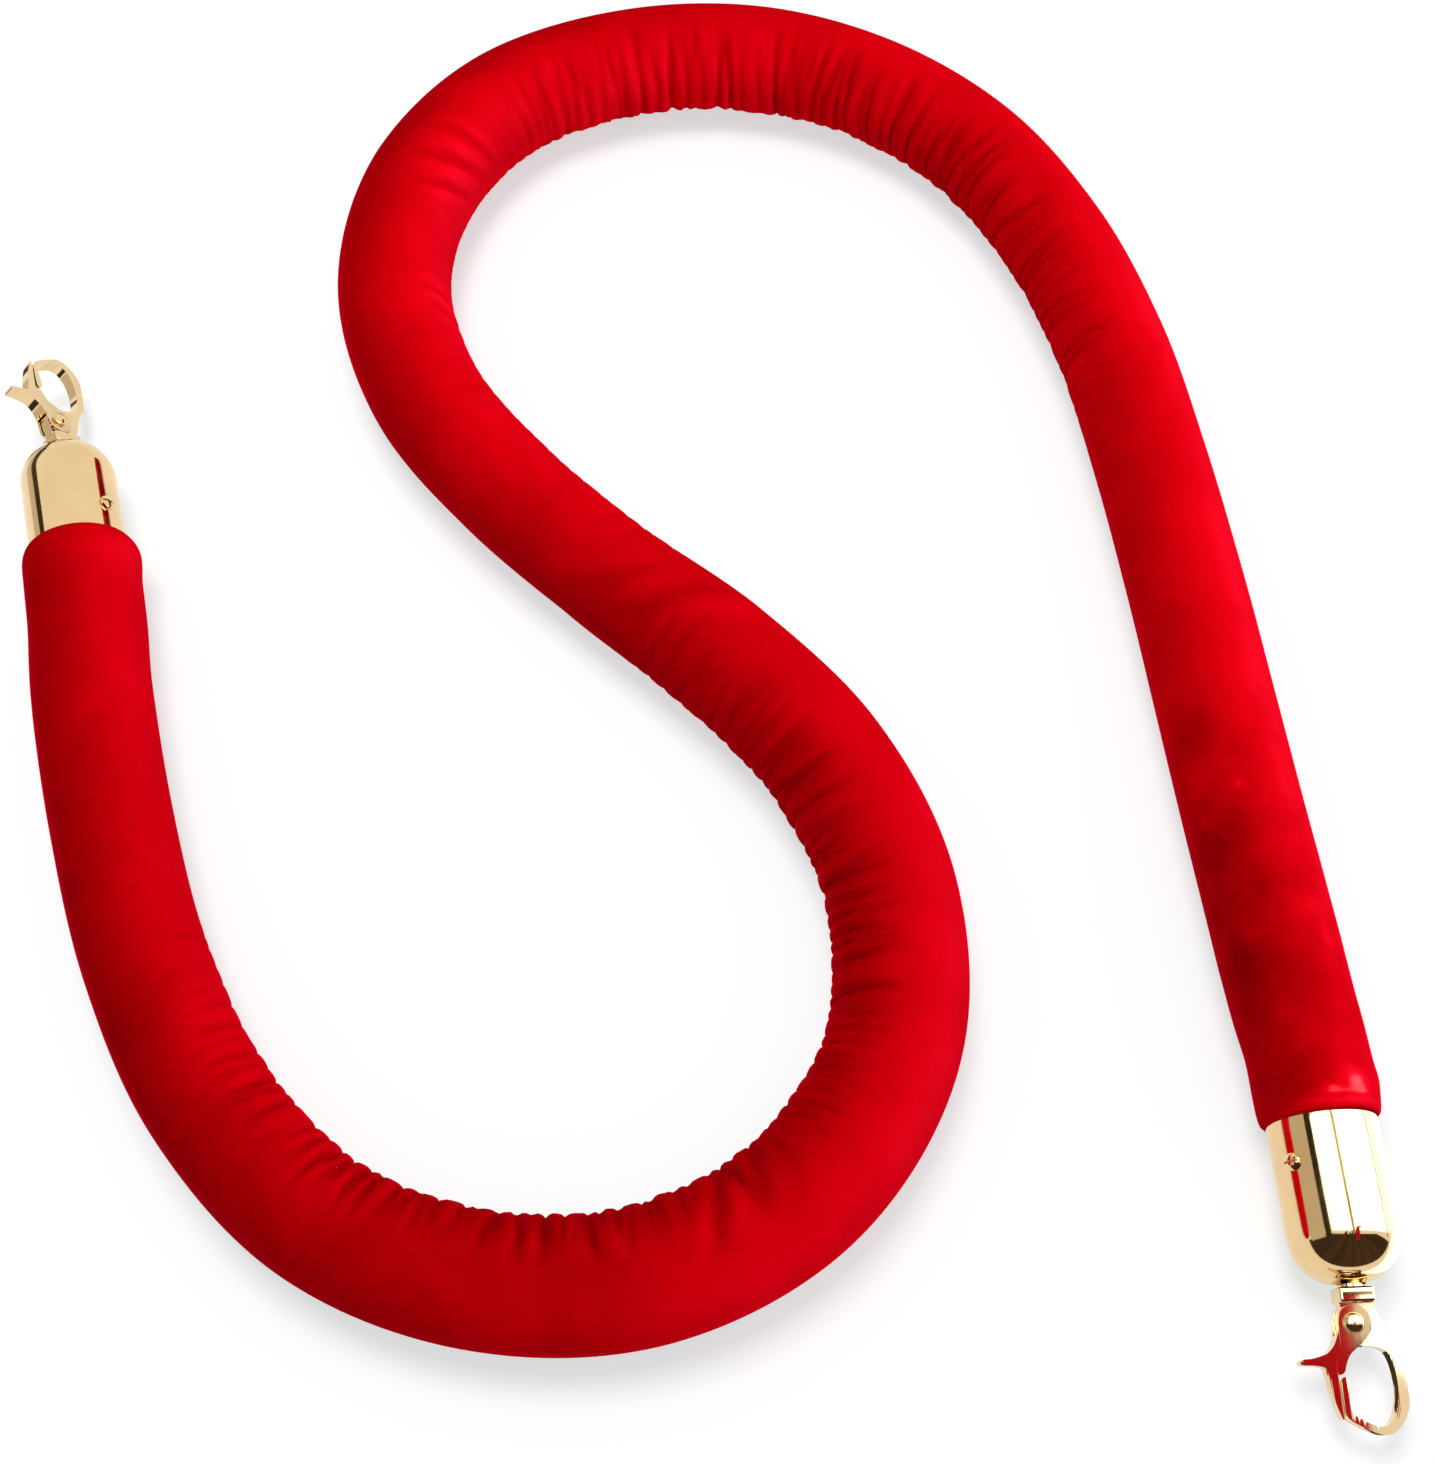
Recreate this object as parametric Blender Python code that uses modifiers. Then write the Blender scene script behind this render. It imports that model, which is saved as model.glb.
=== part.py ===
# Velvet barrier rope with two swivelling trigger snap hooks.
# Metres, +Z up. The rope lies on the floor z = 0 in an S shape.
# Fittings are dimensioned in millimetres and scaled with MM.
import bpy
import bmesh
import math
from mathutils import Vector, Matrix

for ob in list(bpy.data.objects):
    bpy.data.objects.remove(ob, do_unlink=True)

MM = 0.001

# ---------------------------------------------------------------- sizes (mm)
R_SLEEVE = 17.5        # outside of the velvet sleeve
T_SLEEVE = 1.2         # cloth and lining
R_WAD = 15.3           # cotton wadding inside the cloth
R_CORD = 3.0           # load cord
R_CAP = 14.25          # bullet end cap
T_CAP = 1.0            # its wall
CAP_IN = 8.0           # how far the cap reaches under the sleeve
DOME = 25.5            # velvet edge to the dome's centre
H_DOME = 14.0          # height of the dome
R_PIN = 3.2            # swivel pin
SCREW_AT = 9.5         # cap screw, measured from the velvet edge
SCREW_TURN = 55.0      # degrees off the top, towards the inside of the S
PIVOT = (23.5, -1.4)   # gate rivet, from the dome's centre
HOOK_T = 1.9           # half thickness of the hook
LEVER_T = 3.3          # half thickness of the gate lever

# ---------------------------------------------------------------- rope route
# Centreline of the sleeve on the floor, between its straight ends.
ROUTE = [
    (-0.158, -0.031), (-0.146, -0.074), (-0.131, -0.116), (-0.109, -0.155),
    (-0.077, -0.186), (-0.035, -0.201), (0.009, -0.199), (0.048, -0.177),
    (0.071, -0.139), (0.072, -0.095), (0.055, -0.054), (0.025, -0.020),
    (-0.009, 0.009), (-0.041, 0.040), (-0.068, 0.076), (-0.081, 0.119),
    (-0.074, 0.163), (-0.048, 0.199), (-0.007, 0.218), (0.037, 0.220),
    (0.079, 0.205), (0.113, 0.176), (0.136, 0.137), (0.150, 0.094),
    (0.158, 0.050), (0.164, 0.006), (0.169, -0.039), (0.174, -0.084),
    (0.179, -0.128),
]
SHIFT = Vector((-0.0003, -0.0004, 0.0))   # centres the layout on the origin

# Each end: centre of the velvet's edge, heading in degrees clockwise from +Y
# and droop of the cap, the same of the swivel, and the hook's roll.
ENDS = {
    "left": dict(edge=(-0.1691, 0.0167, 0.01673), head=-15.5, droop=2.0,
                 s_head=-16.9, s_droop=-0.7, roll=46.8),
    "right": dict(edge=(0.1822, -0.1620, 0.01673), head=176.5, droop=2.0,
                  s_head=178.0, s_droop=5.0, roll=180.0),
}

# ---------------------------------------------------------------- outlines
# Millimetres in the hook's plane: (along the swivel axis, across it), both
# from the dome's centre. The thumb tail is on the negative side.
HOOK = [
    (16.8, -3.6), (19.5, -3.8), (22.5, -4.5), (25.5, -4.5), (27.4, -4.4),
    (28.5, -3.3), (28.8, -0.8), (29.0, 1.9), (29.4, 4.2), (30.4, 6.0),
    (32.6, 7.0), (35.5, 7.5), (38.6, 7.6), (42.0, 7.1), (45.0, 6.1),
    (47.2, 4.5), (48.1, 2.6), (47.9, 0.8), (46.9, -1.5), (45.6, -3.6),
    (44.3, -4.7), (42.2, -4.9), (39.5, -4.55), (37.6, -4.4), (36.7, -4.6),
    (36.2, -5.3), (36.8, -6.1), (38.7, -6.35), (42.7, -6.4), (45.0, -6.25),
    (46.4, -5.3), (47.7, -3.3), (49.2, -0.3), (50.0, 2.0), (50.1, 3.7),
    (49.4, 5.4), (47.4, 7.6), (44.6, 9.3), (42.0, 9.9), (39.2, 9.9),
    (35.2, 9.7), (32.4, 9.5), (31.0, 9.2), (29.6, 7.9), (26.1, 6.6),
    (22.0, 5.5), (18.8, 4.5), (16.8, 4.2),
]
LEVER = [
    (18.95, -1.4), (19.3, 0.4), (20.4, 2.0), (22.0, 2.9), (23.7, 3.1),
    (25.5, 2.7), (27.0, 1.6), (28.2, 0.3), (29.2, -0.9), (31.0, -3.1),
    (33.2, -4.3), (35.0, -4.95), (35.6, -5.9), (35.7, -7.0), (35.7, -9.4),
    (34.3, -9.6), (33.7, -10.2), (33.3, -12.4), (33.1, -15.2), (32.5, -15.8),
    (31.8, -15.3), (31.6, -12.6), (31.0, -10.2), (30.4, -8.7), (28.7, -7.0),
    (26.5, -5.9), (24.8, -5.3), (22.5, -5.0), (20.6, -4.4), (19.5, -3.1),
]
NOSE = [
    (33.0, -7.0), (38.7, -6.75), (45.3, -6.65), (46.2, -6.9), (45.8, -7.3),
    (42.9, -8.2), (40.7, -8.7), (38.0, -9.1), (33.0, -9.2),
]
SADDLE = [    # the gap between the lever's two cheeks, open behind the rivet
    (17.0, -9.0), (26.2, -9.0), (26.2, -4.95), (28.1, -4.9), (28.9, -3.6),
    (29.4, -2.2), (30.6, -0.5), (30.6, 4.5), (17.0, 4.5),
]

# ---------------------------------------------------------------- scene
PARTS = bpy.data.collections.new("velvet_barrier_rope")
CUTS = bpy.data.collections.new("cutters")
for c in (PARTS, CUTS):
    bpy.context.scene.collection.children.link(c)


def material(name, colour, metallic, roughness):
    m = bpy.data.materials.new(name)
    m.use_nodes = True
    b = m.node_tree.nodes["Principled BSDF"]
    b.inputs["Base Color"].default_value = (*colour, 1.0)
    b.inputs["Metallic"].default_value = metallic
    b.inputs["Roughness"].default_value = roughness
    return m


VELVET = material("velvet", (0.55, 0.0, 0.01), 0.0, 0.9)
WADDING = material("wadding", (0.8, 0.77, 0.7), 0.0, 1.0)
CORD = material("cord", (0.7, 0.62, 0.5), 0.0, 0.9)
WOOD = material("wood", (0.55, 0.38, 0.22), 0.0, 0.7)
GOLD = material("gold", (0.85, 0.6, 0.3), 1.0, 0.12)
STEEL = material("steel", (0.5, 0.5, 0.52), 1.0, 0.35)


def add(name, data, parent=None, mat=None, cutter=False):
    ob = bpy.data.objects.new(name, data)
    (CUTS if cutter else PARTS).objects.link(ob)
    ob.parent = parent
    if data is not None and mat is not None:
        data.materials.append(mat)
    if cutter:
        ob.hide_render = True
        ob.display_type = "WIRE"
    return ob


def empty(name, location, rotation, parent=None):
    ob = add(name, None, parent)
    ob.empty_display_size = 0.01
    ob.location = location
    ob.rotation_euler = rotation
    return ob


# ---------------------------------------------------------------- tools
ALONG_U = (0.0, math.pi / 2, 0.0)     # turns a local Z axis into the parent's X


def turned(name, profile, steps, parent, mat, closed=False):
    """Profile of (radius, height), top to bottom on its outer side, turned
    about the local Z axis, which lies along the parent's X axis."""
    me = bpy.data.meshes.new(name)
    n = len(profile)
    edges = [(i, i + 1) for i in range(n - 1)] + ([(n - 1, 0)] if closed else [])
    me.from_pydata([(r * MM, 0.0, z * MM) for r, z in profile], edges, [])
    ob = add(name, me, parent, mat)
    ob.rotation_euler = ALONG_U
    m = ob.modifiers.new("turn", "SCREW")
    m.axis = "Z"
    m.angle = 2 * math.pi
    m.steps = m.render_steps = steps
    m.use_merge_vertices = True
    m.merge_threshold = 0.00001
    m.use_smooth_shade = True
    return ob


def cylinder(name, r, lo, hi, parent, sides=24, axis="X", at=(0.0, 0.0, 0.0), mat=None, cutter=True):
    """Cylinder along the parent's X or Z axis from lo to hi (mm)."""
    me = bpy.data.meshes.new(name)
    bm = bmesh.new()
    bmesh.ops.create_cone(bm, cap_ends=True, segments=sides, radius1=r * MM, radius2=r * MM,
                          depth=(hi - lo) * MM)
    bm.to_mesh(me)
    bm.free()
    ob = add(name, me, parent, mat, cutter)
    mid = (lo + hi) / 2 * MM
    off = Vector((mid, 0, 0)) if axis == "X" else Vector((0, 0, mid))
    ob.location = Vector(at) * MM + off
    if axis == "X":
        ob.rotation_euler = ALONG_U
    return ob


def block(name, lo, hi, parent, mat=None, cutter=True):
    me = bpy.data.meshes.new(name)
    bm = bmesh.new()
    bmesh.ops.create_cube(bm, size=1.0)
    bmesh.ops.scale(bm, vec=[(b - a) * MM for a, b in zip(lo, hi)], verts=bm.verts)
    bm.to_mesh(me)
    bm.free()
    ob = add(name, me, parent, mat, cutter)
    ob.location = [(a + b) / 2 * MM for a, b in zip(lo, hi)]
    return ob


def rounded_outline(pts, sub=2):
    """Points of a closed Catmull-Rom curve through the given points."""
    out, n = [], len(pts)
    for i in range(n):
        a, b, c, d = (Vector(pts[(i + k) % n]) for k in (-1, 0, 1, 2))
        for s in range(sub):
            t = s / sub
            out.append(0.5 * (2 * b + (c - a) * t + (2 * a - 5 * b + 4 * c - d) * t * t
                              + (3 * b - a - 3 * c + d) * t ** 3))
    return out


def plate(name, outline, half, parent, mat=None, cutter=False, shift=(0.0, 0.0)):
    """Flat outline in the parent's XY plane, extruded half each way."""
    cu = bpy.data.curves.new(name, "CURVE")
    cu.dimensions = "2D"
    cu.fill_mode = "BOTH"
    cu.extrude = half * MM
    sp = cu.splines.new("POLY")
    sp.points.add(len(outline) - 1)
    for p, q in zip(sp.points, outline):
        p.co = ((q[0] - shift[0]) * MM, (q[1] - shift[1]) * MM, 0.0, 1.0)
    sp.use_cyclic_u = True
    flat = add(name + "_outline", cu)
    bpy.context.view_layer.update()
    dg = bpy.context.evaluated_depsgraph_get()
    me = bpy.data.meshes.new_from_object(flat.evaluated_get(dg))
    me.name = name
    bpy.data.objects.remove(flat, do_unlink=True)
    bm = bmesh.new()
    bm.from_mesh(me)
    bmesh.ops.remove_doubles(bm, verts=bm.verts, dist=0.000001)
    bmesh.ops.recalc_face_normals(bm, faces=bm.faces)
    bm.to_mesh(me)
    bm.free()
    me.materials.clear()
    return add(name, me, parent, mat, cutter)


def bevel(ob, width, segments=2, angle=50.0):
    m = ob.modifiers.new("edges", "BEVEL")
    m.width = width * MM
    m.segments = segments
    m.limit_method = "ANGLE"
    m.angle_limit = math.radians(angle)
    return ob


def boolean(ob, other, op="DIFFERENCE"):
    m = ob.modifiers.new(other.name, "BOOLEAN")
    m.operation = op
    m.solver = "EXACT"
    m.object = other
    return ob


def polyline(name, pts, radius, sides, parent, mat, factors=None, caps=True):
    """Tube along points (metres): a curve object with a round bevel."""
    cu = bpy.data.curves.new(name, "CURVE")
    cu.dimensions = "3D"
    cu.twist_mode = "Z_UP"
    cu.bevel_depth = radius * MM
    cu.bevel_resolution = (sides - 4) // 2
    cu.use_fill_caps = caps
    sp = cu.splines.new("POLY")
    sp.points.add(len(pts) - 1)
    for i, (p, q) in enumerate(zip(sp.points, pts)):
        p.co = (*q, 1.0)
        p.radius = factors[i] if factors else 1.0
    sp.use_smooth = True
    return add(name, cu, parent, mat)


# ---------------------------------------------------------------- centreline
def heading(head, droop):
    h, d = math.radians(head), math.radians(droop)
    return Vector((math.sin(h) * math.cos(d), math.cos(h) * math.cos(d), -math.sin(d)))


def angles(head, droop, roll=0.0):
    """Euler angles of a frame with X outward, Y level and to the right of it
    (as seen from behind), Z = X x Y, then rolled about X."""
    u = heading(head, droop)
    v = u.cross(Vector((0, 0, 1))).normalized()
    v = Matrix.Rotation(math.radians(roll), 3, u) @ v
    return Matrix((u, v, u.cross(v))).transposed().to_euler()


def smooth_curve(pts, per=24):
    """Centripetal Catmull-Rom curve through the points."""
    out = []
    p = [2 * pts[0] - pts[1]] + pts + [2 * pts[-1] - pts[-2]]
    for i in range(1, len(p) - 2):
        p0, p1, p2, p3 = p[i - 1:i + 3]
        t0 = 0.0
        t1 = t0 + math.sqrt((p1 - p0).length)
        t2 = t1 + math.sqrt((p2 - p1).length)
        t3 = t2 + math.sqrt((p3 - p2).length)
        for s in range(per):
            t = t1 + (t2 - t1) * s / per
            a1 = (t1 - t) / (t1 - t0) * p0 + (t - t0) / (t1 - t0) * p1
            a2 = (t2 - t) / (t2 - t1) * p1 + (t - t1) / (t2 - t1) * p2
            a3 = (t3 - t) / (t3 - t2) * p2 + (t - t2) / (t3 - t2) * p3
            b1 = (t2 - t) / (t2 - t0) * a1 + (t - t0) / (t2 - t0) * a2
            b2 = (t3 - t) / (t3 - t1) * a2 + (t - t1) / (t3 - t1) * a3
            out.append((t2 - t) / (t2 - t1) * b1 + (t - t1) / (t2 - t1) * b2)
    return out + [pts[-1].copy()]


def along(pts):
    s = [0.0]
    for a, b in zip(pts[:-1], pts[1:]):
        s.append(s[-1] + (b - a).length)
    return s


def point_at(pts, s, x):
    for i in range(1, len(s)):
        if x <= s[i] or i == len(s) - 1:
            return pts[i - 1].lerp(pts[i], (x - s[i - 1]) / (s[i] - s[i - 1]))


def straight_end(side):
    e = ENDS[side]
    p = Vector(e["edge"]) + SHIFT
    a = heading(e["head"], e["droop"])
    return [p, p - a * 0.011, p - a * 0.022]


control = straight_end("left")
control += [Vector((x, y, R_SLEEVE * MM)) + SHIFT for x, y in ROUTE]
control += straight_end("right")[::-1]
fine = smooth_curve(control)
fine_s = along(fine)
LENGTH = fine_s[-1]
near_end = [0.0, 4.0, 9.0, 14.0, 19.5]
count = 44
stations = [x * MM for x in near_end]
stations += [0.025 + (LENGTH - 0.05) * i / (count - 1) for i in range(count)]
stations += [LENGTH - x * MM for x in near_end[::-1]]
line = [point_at(fine, fine_s, x) for x in stations]
line_s = along(line)


def cut_back(margin):
    """The same polyline with both ends cut back, so that nested tubes share
    their chords."""
    lo, hi = margin * MM, line_s[-1] - margin * MM
    mid = [p for p, s in zip(line, line_s) if lo + 0.001 < s < hi - 0.001]
    return [point_at(line, line_s, lo)] + mid + [point_at(line, line_s, hi)]


# ---------------------------------------------------------------- the rope
ends_in = {0.0: 16.4, 4.0: 16.45, 9.0: 16.5, 14.0: 17.0, 19.5: 17.35}
widths = [ends_in.get(x, R_SLEEVE) / R_SLEEVE for x in near_end]
factors = widths + [1.0] * count + widths[::-1]
sleeve = polyline("velvet_sleeve", line, R_SLEEVE, 12, None, VELVET, factors, caps=False)
wall = sleeve.modifiers.new("cloth", "SOLIDIFY")
wall.thickness = T_SLEEVE * MM
wall.offset = -1.0

core_line = cut_back(9.6)
core_f = [14.0 / R_WAD, 14.7 / R_WAD] + [1.0] * (len(core_line) - 4) + [14.7 / R_WAD, 14.0 / R_WAD]
core = polyline("wadding_core", core_line, R_WAD, 8, None, WADDING, core_f, caps=False)
wall = core.modifiers.new("bore", "SOLIDIFY")
wall.thickness = (R_WAD - 2 * R_CORD + 1.4) * MM
wall.offset = -1.0
polyline("load_cord", cut_back(1.0), R_CORD * 0.8, 6, None, CORD)


# ---------------------------------------------------------------- fittings
def dome(h, r, steps, power=2.3):
    out = []
    for i in range(steps + 1):
        t = math.pi / 2 * (1 - i / steps)
        out.append((r * max(math.cos(t), 0.0) ** (2 / power), DOME + h * math.sin(t) ** (2 / power)))
    out[0] = (0.0, DOME + h)
    return out


def fit_out(side):
    e = ENDS[side]
    edge = Vector(e["edge"]) + SHIFT
    centre = edge + heading(e["head"], e["droop"]) * DOME * MM
    at_edge = empty(side + "_end", edge, angles(e["head"], e["droop"]))
    swivel = empty(side + "_swivel", centre, angles(e["s_head"], e["s_droop"], e["roll"]))
    gate = empty(side + "_gate_pivot", Vector((*PIVOT, 0.0)) * MM, (0, 0, 0), swivel)
    to_screw = empty(side + "_screw_axis", (SCREW_AT * MM, 0, 0),
                     (math.radians(SCREW_TURN - 180.0), 0, 0), at_edge)

    # end cap: a drawn shell, pierced for the swivel pin and the screw
    cap = turned(side + "_end_cap", dome(H_DOME, R_CAP, 7) + [(R_CAP, 8.0), (R_CAP, -CAP_IN)],
                 28, at_edge, GOLD)
    wall = cap.modifiers.new("wall", "SOLIDIFY")
    wall.thickness = T_CAP * MM
    wall.offset = -1.0
    boolean(cap, cylinder(side + "_pin_hole", R_PIN + 0.15, 8.0, 18.0, swivel, 20))
    screw_hole = cylinder(side + "_screw_hole", 1.6, 6.0, 18.0, to_screw, 14, axis="Z")
    boolean(cap, screw_hole)

    # end plug inside the cap, bored for the load cord and the screw
    plug = turned(side + "_end_plug", [(3.6, 19.0), (12.3, 19.0), (12.9, 18.4), (12.9, -6.6),
                                       (12.3, -7.2), (3.6, -7.2)], 20, at_edge, WOOD, closed=True)
    boolean(plug, screw_hole)

    # cap screw: domed head with a slot
    screw = turned(side + "_cap_screw", [(0, 15.65), (0.9, 15.6), (1.7, 15.4), (2.2, 14.9),
                                         (2.25, 14.4), (1.4, 14.4), (1.4, 7.2), (1.2, 6.8),
                                         (0, 6.5)], 14, to_screw, GOLD)
    screw.rotation_euler = (0, 0, 0)
    boolean(screw, block(side + "_screw_slot", (-3.0, -0.3, 15.05), (3.0, 0.3, 17.0), to_screw))

    # swivel pin: head inside the dome, shank in the hook's collar
    turned(side + "_swivel_pin", [(0, 17.7), (2.8, 17.7), (R_PIN, 17.3), (R_PIN, 10.1),
                                  (4.6, 10.1), (4.6, 9.9), (4.4, 8.6), (3.4, 8.1), (0, 8.0)],
           20, swivel, GOLD)
    turned(side + "_swivel_washer", [(R_PIN + 0.2, 11.2), (5.9, 11.2), (5.9, 10.4),
                                     (R_PIN + 0.2, 10.4)], 20, swivel, GOLD, closed=True)

    # hook: flat forged body joined to a block collar
    hook = bevel(plate(side + "_hook", rounded_outline(HOOK), HOOK_T, swivel, GOLD), 0.75, 1)
    collar = bevel(block(side + "_collar", (14.6, -4.2, -4.0), (18.6, 5.0, 4.0), swivel), 0.7, 1)
    boolean(hook, collar, "UNION")
    boolean(hook, cylinder(side + "_pin_bore", R_PIN + 0.1, 13.0, 18.0, swivel, 20))
    boolean(hook, cylinder(side + "_rivet_hole", 1.5, -6.0, 6.0, gate, 16, axis="Z"))
    pocket = cylinder(side + "_spring_pocket", 2.6, -0.9, 4.0, gate, 18, axis="Z")
    boolean(pocket, block(side + "_leg_groove", (-0.52, 0.7, -0.87), (0.48, 4.2, 3.6), gate), "UNION")
    boolean(hook, pocket)

    # gate lever: saddle with a thumb tail, and a nose over the hook's tip
    lever = bevel(plate(side + "_gate_lever", rounded_outline(LEVER), LEVER_T, gate, GOLD,
                        shift=PIVOT), 0.4, 1)
    nose = bevel(plate(side + "_nose", rounded_outline(NOSE), 2.0, gate, None, True, PIVOT), 0.35, 1)
    boolean(lever, nose, "UNION")
    boolean(lever, plate(side + "_saddle", [Vector(p) for p in SADDLE], 2.2, gate, None, True, PIVOT))
    boolean(lever, bpy.data.objects[side + "_rivet_hole"])

    # rivet through both cheeks
    rivet = turned(side + "_gate_rivet", [(0, 4.4), (1.0, 4.35), (1.9, 4.1), (2.5, 3.7), (2.6, 3.4),
                                          (1.4, 3.4), (1.4, -3.4), (2.2, -3.4), (2.1, -3.75),
                                          (1.3, -4.0), (0, -4.1)], 16, gate, GOLD)
    rivet.rotation_euler = (0, 0, 0)

    # torsion spring round the rivet, in the hook's pocket
    turns, r, pitch, steps = 3.25, 2.05, 0.6, 40
    coil = [Vector((0.0, 3.7, -0.6)), Vector((0.0, 2.7, -0.6))]
    for i in range(steps + 1):
        t = turns * 2 * math.pi * i / steps
        coil.append(Vector((r * math.sin(t), r * math.cos(t), -0.6 + pitch * turns * i / steps)))
    polyline(side + "_gate_spring", [p * MM for p in coil], 0.22, 4, gate, STEEL)

    bpy.context.view_layer.update()
    m = swivel.matrix_world
    r3 = lambda q: [round(c, 6) for c in q]
    print("END", side, "centre", r3(m.translation), "u", r3(m.col[0][:3]), "v", r3(m.col[1][:3]),
          "n", r3(m.col[2][:3]), "pivot", r3(gate.matrix_world.translation))


for side in ("left", "right"):
    fit_out(side)
print("sleeve length", round(LENGTH, 4))
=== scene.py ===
import bpy
import bmesh
import math
import numpy as np
from mathutils import Matrix, Vector


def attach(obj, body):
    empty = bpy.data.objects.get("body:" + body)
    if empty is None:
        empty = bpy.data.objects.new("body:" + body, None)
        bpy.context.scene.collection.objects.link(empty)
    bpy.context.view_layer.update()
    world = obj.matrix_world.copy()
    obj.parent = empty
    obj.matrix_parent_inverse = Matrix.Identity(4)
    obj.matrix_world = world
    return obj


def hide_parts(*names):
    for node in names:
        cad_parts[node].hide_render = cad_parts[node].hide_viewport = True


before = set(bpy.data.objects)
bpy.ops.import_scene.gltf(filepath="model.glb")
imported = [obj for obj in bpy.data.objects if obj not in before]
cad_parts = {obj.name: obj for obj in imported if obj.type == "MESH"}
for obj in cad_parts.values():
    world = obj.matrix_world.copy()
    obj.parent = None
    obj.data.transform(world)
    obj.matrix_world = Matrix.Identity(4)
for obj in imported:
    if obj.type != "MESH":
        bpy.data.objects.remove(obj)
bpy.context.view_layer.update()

MM = 0.001

# ---------------------------------------------------------------- sizes (mm)
R_SLEEVE = 17.5       # outside of the velvet
R_CAP = 14.25         # end cap
T_CAP = 1.0
CAP_IN = 8.0          # how far the cap reaches under the velvet
DOME = 25.5           # velvet edge to the dome's centre
H_DOME = 14.0
R_PIN = 3.2
SCREW_AT = 9.5
SCREW_TURN = 55.0     # degrees off the top
PIVOT = (23.5, -1.4)  # gate rivet, from the dome's centre
HOOK_T = 1.9          # half thickness of the hook
LEVER_T = 3.3         # half thickness of the gate lever
LEVER_TAPER = 0.52    # how much of that is gone at the far end
NOSE_T = 1.7          # half thickness of the lever's nose
SADDLE_T = 2.2        # half width of the slot by which it straddles the hook

# ---------------------------------------------------------------- rope route
# Points on the floor that the sleeve's centreline passes over (m).
ROUTE = [
    (-0.158, -0.031), (-0.146, -0.074), (-0.131, -0.116), (-0.109, -0.155),
    (-0.077, -0.186), (-0.035, -0.201), (0.009, -0.199), (0.048, -0.177),
    (0.071, -0.139), (0.072, -0.095), (0.055, -0.054), (0.025, -0.020),
    (-0.009, 0.009), (-0.041, 0.040), (-0.068, 0.076), (-0.081, 0.119),
    (-0.074, 0.163), (-0.048, 0.199), (-0.007, 0.218), (0.037, 0.220),
    (0.079, 0.205), (0.113, 0.176), (0.136, 0.137), (0.150, 0.094),
    (0.158, 0.050), (0.164, 0.006), (0.169, -0.039), (0.174, -0.084),
    (0.179, -0.128),
]
SHIFT = Vector((-0.0003, -0.0004, 0.0))     # centres the layout on the origin
STRAIGHT = 0.011      # m between the first points of each straight end
CURVE_STEPS = 40      # points of the smooth curve for each of the route's own

# Each end: centre of the velvet's edge, heading in degrees clockwise from +Y
# and droop of the cap, the same of the swivel, and the hook's roll.
ENDS = {
    "left": dict(edge=(-0.1691, 0.0167, 0.01673), head=-15.5, droop=2.0,
                 s_head=-16.9, s_droop=-0.7, roll=46.8),
    "right": dict(edge=(0.1822, -0.1620, 0.01673), head=176.5, droop=2.0,
                  s_head=178.0, s_droop=5.0, roll=180.0),
}

# Outlines in the hook's plane, millimetres from the dome's centre: (along
# the swivel axis, across it).
HOOK = [
    (16.8, -3.6), (19.5, -3.8), (22.5, -4.5), (25.5, -4.5), (27.4, -4.4),
    (28.5, -3.3), (28.8, -0.8), (29.0, 1.9), (29.4, 4.2), (30.4, 6.0),
    (32.6, 7.0), (35.5, 7.5), (38.6, 7.6), (42.0, 7.1), (45.0, 6.1),
    (47.2, 4.5), (48.1, 2.6), (47.9, 0.8), (46.9, -1.5), (45.6, -3.6),
    (44.3, -4.7), (42.2, -4.9), (39.5, -4.55), (37.6, -4.4), (36.7, -4.6),
    (36.2, -5.3), (36.8, -6.1), (38.7, -6.35), (42.7, -6.4), (45.0, -6.25),
    (46.4, -5.3), (47.7, -3.3), (49.2, -0.3), (50.0, 2.0), (50.1, 3.7),
    (49.4, 5.4), (47.4, 7.6), (44.6, 9.3), (42.0, 9.9), (39.2, 9.9),
    (35.2, 9.7), (32.4, 9.5), (31.0, 9.2), (29.6, 7.9), (26.1, 6.6),
    (22.0, 5.5), (18.8, 4.5), (16.8, 4.2),
]
LEVER = [
    (18.95, -1.4), (19.3, 0.4), (20.4, 2.0), (22.0, 2.9), (23.7, 3.1),
    (25.5, 2.7), (27.0, 1.6), (28.2, 0.3), (29.2, -0.9), (31.0, -3.1),
    (33.2, -4.3), (35.0, -4.95), (35.6, -5.9), (35.7, -7.0), (35.7, -9.4),
    (34.3, -9.6), (33.7, -10.2), (33.3, -12.4), (33.1, -15.2), (32.5, -15.8),
    (31.8, -15.3), (31.6, -12.6), (31.0, -10.2), (30.4, -8.7), (28.7, -7.0),
    (26.5, -5.9), (24.8, -5.3), (22.5, -5.0), (20.6, -4.4), (19.5, -3.1),
]
NOSE = [
    (33.0, -7.0), (38.7, -6.75), (45.3, -6.65), (46.2, -6.9), (45.8, -7.3),
    (42.9, -8.2), (40.7, -8.7), (38.0, -9.1), (33.0, -9.2),
]
SADDLE = [
    (17.0, -9.0), (26.2, -9.0), (26.2, -4.95), (28.1, -4.9), (28.9, -3.6),
    (29.4, -2.2), (30.6, -0.5), (30.6, 4.5), (17.0, 4.5),
]

COLLAR = (4.0, 9.2, 8.0), (16.6, 0.4, 0.0)         # block on the hook: size, centre
SCREW_SLOT = (2.0, 6.0, 0.55), (16.1, 0.0, 0.0)    # cut into the screw's head: the same

# ---------------------------------------------------------------- camera
CAMERA_AT = (0.0237, -0.3114, 0.52853)
CAMERA_TILT = 27.5    # degrees off straight down
CAMERA_LENS = 49.18   # mm

scene = bpy.context.scene
scene.view_settings.view_transform = "Standard"


def new_object(name, data):
    ob = bpy.data.objects.new(name, data)
    scene.collection.objects.link(ob)
    return ob


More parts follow.
